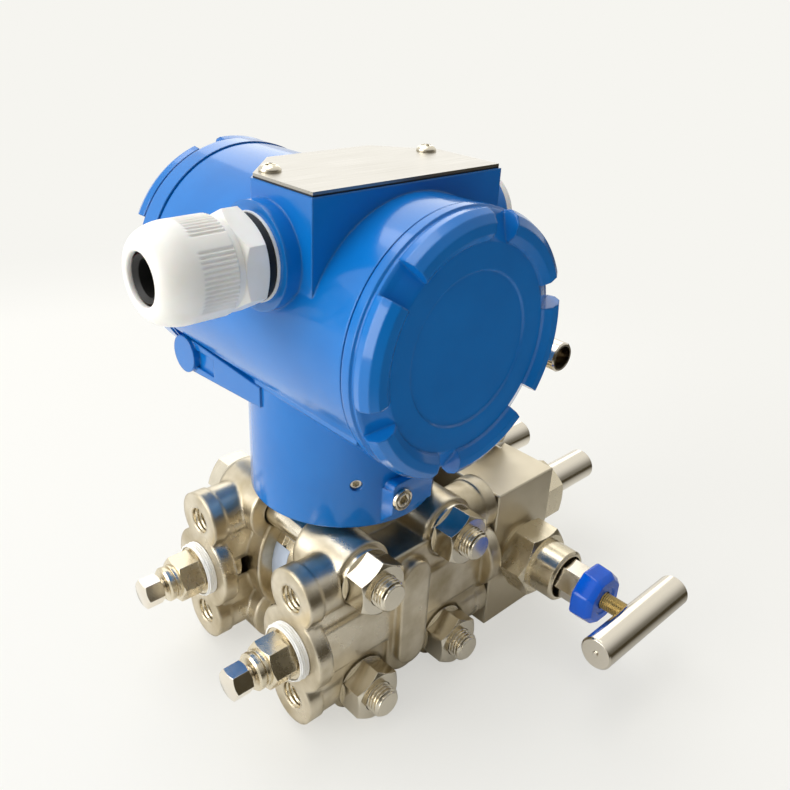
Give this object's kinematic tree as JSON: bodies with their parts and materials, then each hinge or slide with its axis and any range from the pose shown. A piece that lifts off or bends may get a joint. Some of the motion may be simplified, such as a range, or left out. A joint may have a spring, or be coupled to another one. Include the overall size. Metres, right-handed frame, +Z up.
{
  "type": "differential pressure transmitter",
  "caption": "Differential pressure transmitter: blue two-chamber housing on a flanged sensor capsule, with an integral equalising valve manifold, vent plugs and a cable gland.",
  "frame": {"origin": "centre of the four bracket holes on the flanges' free end faces", "axes": "+X along the ports towards the manifold and its inlet tubes, +Y from the front cover towards the rear cover, +Z up through the neck to the housing"},
  "size_m": [0.2024, 0.1944, 0.1836],
  "materials": {
    "blue_paint": "glossy sprayed paint on cast aluminium",
    "cast_stainless": "bead-blasted cast stainless steel",
    "machined_stainless": "machined stainless steel, satin",
    "polished_stainless": "polished stainless steel",
    "plated_steel": "bright plated steel",
    "thin_diaphragm": "thin smooth metal foil",
    "white_ptfe": "white sealing tape and gasket",
    "black_rubber": "smooth matte rubber",
    "brushed_plate": "brushed sheet, lengthwise grain",
    "ivory_nylon": "moulded nylon, satin",
    "blue_plastic": "moulded plastic, satin gloss",
    "brass_stem": "turned brass",
    "black_plastic": "moulded plastic"
  },
  "bodies": {
    "transmitter": {"balance_valve_bonnet": "machined_stainless", "balance_valve_dust_cap": "blue_plastic", "balance_valve_packing_nut": "polished_stainless", "electronics_module": "black_plastic", "flange_gaskets": "white_ptfe", "front_flange": "cast_stainless", "front_valve_bonnet": "machined_stainless", "front_valve_dust_cap": "blue_plastic", "front_valve_packing_nut": "polished_stainless", "front_vent_plug": "machined_stainless", "gland_body": "ivory_nylon", "gland_ring": "white_ptfe", "gland_washer": "black_rubber", "ground_screw": "plated_steel", "housing": "blue_paint", "inlet_tubes": "polished_stainless", "inlet_union_nuts": "machined_stainless", "inlet_unions": "machined_stainless", "isolating_diaphragms": "thin_diaphragm", "manifold_block": "machined_stainless", "manifold_gaskets": "white_ptfe", "manifold_screws": "plated_steel", "nameplate": "brushed_plate", "nameplate_gasket": "black_rubber", "nameplate_screws": "plated_steel", "neck_set_screw": "plated_steel", "plug_body": "ivory_nylon", "plug_washer": "black_rubber", "rear_flange": "cast_stainless", "rear_valve_bonnet": "machined_stainless", "rear_valve_dust_cap": "blue_plastic", "rear_valve_packing_nut": "polished_stainless", "rear_vent_plug": "machined_stainless", "sensor_capsule": "machined_stainless", "terminal_block": "black_plastic", "terminal_screws": "brass_stem", "thread_tape_rings": "white_ptfe", "through_bolt_nuts": "plated_steel", "through_bolt_washers": "plated_steel", "through_bolts": "plated_steel"},
    "front_valve_stem": {"front_valve_stem": "brass_stem"},
    "front_valve_handle": {"front_valve_handle": "polished_stainless"},
    "rear_valve_stem": {"rear_valve_stem": "brass_stem"},
    "rear_valve_handle": {"rear_valve_handle": "polished_stainless"},
    "balance_valve_stem": {"balance_valve_stem": "brass_stem"},
    "balance_valve_handle": {"balance_valve_handle": "polished_stainless"},
    "front_cover_seal": {"front_cover_seal": "black_rubber"},
    "front_cover": {"front_cover": "blue_paint"},
    "rear_cover_seal": {"rear_cover_seal": "black_rubber"},
    "rear_cover": {"rear_cover": "blue_paint"},
    "gland_seal": {"gland_seal": "black_rubber"},
    "gland_nut": {"gland_nut": "ivory_nylon"},
    "front_bleed_screw": {"front_bleed_screw": "polished_stainless"},
    "rear_bleed_screw": {"rear_bleed_screw": "polished_stainless"}
  },
  "joints": [
    {"name": "front_valve_travel", "type": "slide", "parent": "transmitter", "child": "front_valve_stem", "axis": [0, -1, 0], "range_m": [-0.004, 0.002]},
    {"name": "front_valve_turn", "type": "hinge", "parent": "front_valve_stem", "child": "front_valve_handle", "pos_m": [0.1043, -0.037, -0.004], "axis": [0, -1, 0], "range_deg": [-1440, 720]},
    {"name": "rear_valve_travel", "type": "slide", "parent": "transmitter", "child": "rear_valve_stem", "axis": [0, 1, 0], "range_m": [-0.004, 0.002]},
    {"name": "rear_valve_turn", "type": "hinge", "parent": "rear_valve_stem", "child": "rear_valve_handle", "pos_m": [0.1043, 0.037, -0.004], "axis": [0, 1, 0], "range_deg": [-1440, 720]},
    {"name": "balance_valve_travel", "type": "slide", "parent": "transmitter", "child": "balance_valve_stem", "axis": [0.5, 0, 0.866], "range_m": [-0.004, 0.002]},
    {"name": "balance_valve_turn", "type": "hinge", "parent": "balance_valve_stem", "child": "balance_valve_handle", "pos_m": [0.11085, 0, 0.0295], "axis": [0.5, 0, 0.866], "range_deg": [-1440, 720]},
    {"name": "front_cover_travel", "type": "slide", "parent": "transmitter", "child": "front_cover_seal", "axis": [0, -1, 0], "range_m": [0, 0.008]},
    {"name": "front_cover_turn", "type": "hinge", "parent": "front_cover_seal", "child": "front_cover", "pos_m": [0.0435, -0.044, 0.1035], "axis": [0, -1, 0], "range_deg": [0, 1440]},
    {"name": "rear_cover_travel", "type": "slide", "parent": "transmitter", "child": "rear_cover_seal", "axis": [0, 1, 0], "range_m": [0, 0.008]},
    {"name": "rear_cover_turn", "type": "hinge", "parent": "rear_cover_seal", "child": "rear_cover", "pos_m": [0.0435, 0.054, 0.1035], "axis": [0, 1, 0], "range_deg": [0, 1440]},
    {"name": "gland_travel", "type": "slide", "parent": "transmitter", "child": "gland_seal", "axis": [-1, 0, 0], "range_m": [0, 0.0045]},
    {"name": "gland_turn", "type": "hinge", "parent": "gland_seal", "child": "gland_nut", "pos_m": [0.0025, -0.0085, 0.1263], "axis": [-1, 0, 0], "range_deg": [0, 1080]},
    {"name": "front_bleed_turn", "type": "hinge", "parent": "transmitter", "child": "front_bleed_screw", "pos_m": [-0.018, -0.027, 0], "axis": [-1, 0, 0], "range_deg": [0, 540]},
    {"name": "rear_bleed_turn", "type": "hinge", "parent": "transmitter", "child": "rear_bleed_screw", "pos_m": [-0.018, 0.027, 0], "axis": [-1, 0, 0], "range_deg": [0, 540]}
  ],
  "couplings": [
    {"joint": "front_valve_turn", "follows": "front_valve_travel", "rad_per_m": 6283.2},
    {"joint": "rear_valve_turn", "follows": "rear_valve_travel", "rad_per_m": 6283.2},
    {"joint": "balance_valve_turn", "follows": "balance_valve_travel", "rad_per_m": 6283.2},
    {"joint": "front_cover_turn", "follows": "front_cover_travel", "rad_per_m": 3141.6},
    {"joint": "rear_cover_turn", "follows": "rear_cover_travel", "rad_per_m": 3141.6},
    {"joint": "gland_turn", "follows": "gland_travel", "rad_per_m": 4188.8}
  ]
}
